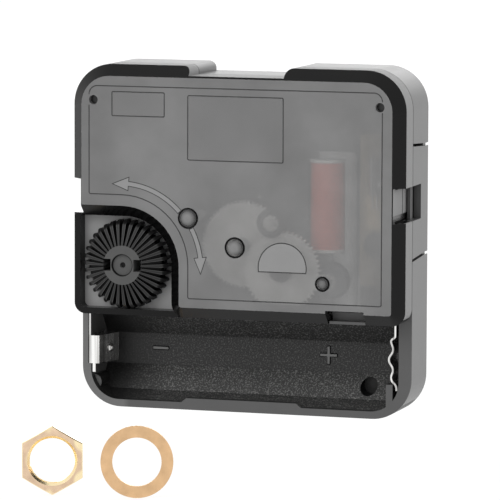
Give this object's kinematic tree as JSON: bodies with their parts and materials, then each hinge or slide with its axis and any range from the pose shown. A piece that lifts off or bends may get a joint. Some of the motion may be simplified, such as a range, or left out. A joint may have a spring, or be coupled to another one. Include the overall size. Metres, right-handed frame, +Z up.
{
  "type": "quartz clock movement",
  "caption": "Wall clock movement with a ribbed setting knob, an open battery bay with spring contacts, stepped hand shafts in a threaded bush, and a loose nut and washer.",
  "frame": {"origin": "centre of the threaded bush where it leaves the dial face", "axes": "+Y out of the dial face along the hand shafts, +Z up towards the top of the clock, +X to the right as seen from the rear"},
  "size_m": [0.0662, 0.0288, 0.0718],
  "materials": {
    "base_black": "moulded black, satin outside, spark-eroded grain in the bay",
    "smoky_cover": "moulded smoky transparent, satin grain",
    "knob_black": "moulded dark grey",
    "wheel_white": "moulded natural white",
    "wheel_black": "moulded black",
    "plate_black": "moulded black",
    "turned_brass": "turned, bright",
    "steel_shaft": "ground",
    "core_steel": "stamped",
    "magnet_grey": "sintered",
    "bobbin_white": "moulded natural white",
    "enamelled_wire": "enamelled fine wire, reddish",
    "board_tan": "phenolic board, tan",
    "resin_black": "cured resin drop",
    "can_nickel": "nickel plated can",
    "contact_nickel": "nickel plated strip"
  },
  "bodies": {
    "movement": {"base_case": "base_black", "rear_cover": "smoky_cover", "threaded_bush": "turned_brass", "hex_nut": "turned_brass", "washer": "turned_brass", "middle_plate": "plate_black", "stator_short": "core_steel", "stator_long": "core_steel", "coil_core": "core_steel", "coil_bobbin": "bobbin_white", "coil_winding": "enamelled_wire", "circuit_board": "board_tan", "chip_drop": "resin_black", "quartz_crystal": "can_nickel", "negative_contact": "contact_nickel", "positive_contact": "contact_nickel"},
    "setting": {"setting_knob": "knob_black", "setting_gear": "wheel_black"},
    "motion": {"motion_wheel": "wheel_white"},
    "hour": {"hour_wheel": "wheel_black"},
    "minute": {"minute_tube": "turned_brass"},
    "centre": {"centre_wheel": "wheel_white"},
    "third": {"third_wheel": "wheel_white"},
    "seconds": {"seconds_wheel": "wheel_white", "seconds_shaft": "steel_shaft"},
    "intermediate": {"intermediate_wheel": "wheel_white"},
    "rotor": {"rotor_pinion": "wheel_white", "rotor_magnet": "magnet_grey"}
  },
  "joints": [
    {"name": "setting_spin", "type": "hinge", "parent": "movement", "child": "setting", "pos_m": [-0.0192, 0, -0.00356], "axis": [0, 1, 0], "continuous": true},
    {"name": "motion_spin", "type": "hinge", "parent": "movement", "child": "motion", "pos_m": [-0.00793, 0, 0.00449], "axis": [0, 1, 0], "continuous": true},
    {"name": "hour_spin", "type": "hinge", "parent": "movement", "child": "hour", "pos_m": [0, 0, 0], "axis": [0, 1, 0], "continuous": true},
    {"name": "minute_spin", "type": "hinge", "parent": "movement", "child": "minute", "pos_m": [0, 0, 0], "axis": [0, 1, 0], "continuous": true},
    {"name": "rotor_spin", "type": "hinge", "parent": "movement", "child": "rotor", "pos_m": [0.01472, 0, -0.00532], "axis": [0, 1, 0], "continuous": true},
    {"name": "intermediate_spin", "type": "hinge", "parent": "movement", "child": "intermediate", "pos_m": [0.0073, 0, -0.0037], "axis": [0, 1, 0], "continuous": true},
    {"name": "seconds_spin", "type": "hinge", "parent": "movement", "child": "seconds", "pos_m": [0, 0, 0], "axis": [0, 1, 0], "continuous": true},
    {"name": "third_spin", "type": "hinge", "parent": "movement", "child": "third", "pos_m": [0.002, 0, 0.00775], "axis": [0, 1, 0], "continuous": true},
    {"name": "centre_spin", "type": "hinge", "parent": "movement", "child": "centre", "pos_m": [0, 0, 0], "axis": [0, 1, 0], "continuous": true}
  ],
  "couplings": [
    {"joint": "motion_spin", "follows": "setting_spin", "ratio": -0.9},
    {"joint": "minute_spin", "follows": "setting_spin", "ratio": 3.6},
    {"joint": "hour_spin", "follows": "setting_spin", "ratio": 0.3},
    {"joint": "intermediate_spin", "follows": "rotor_spin", "ratio": -0.2},
    {"joint": "seconds_spin", "follows": "rotor_spin", "ratio": 0.033333},
    {"joint": "third_spin", "follows": "rotor_spin", "ratio": -0.0044444},
    {"joint": "centre_spin", "follows": "rotor_spin", "ratio": 0.00055556}
  ]
}
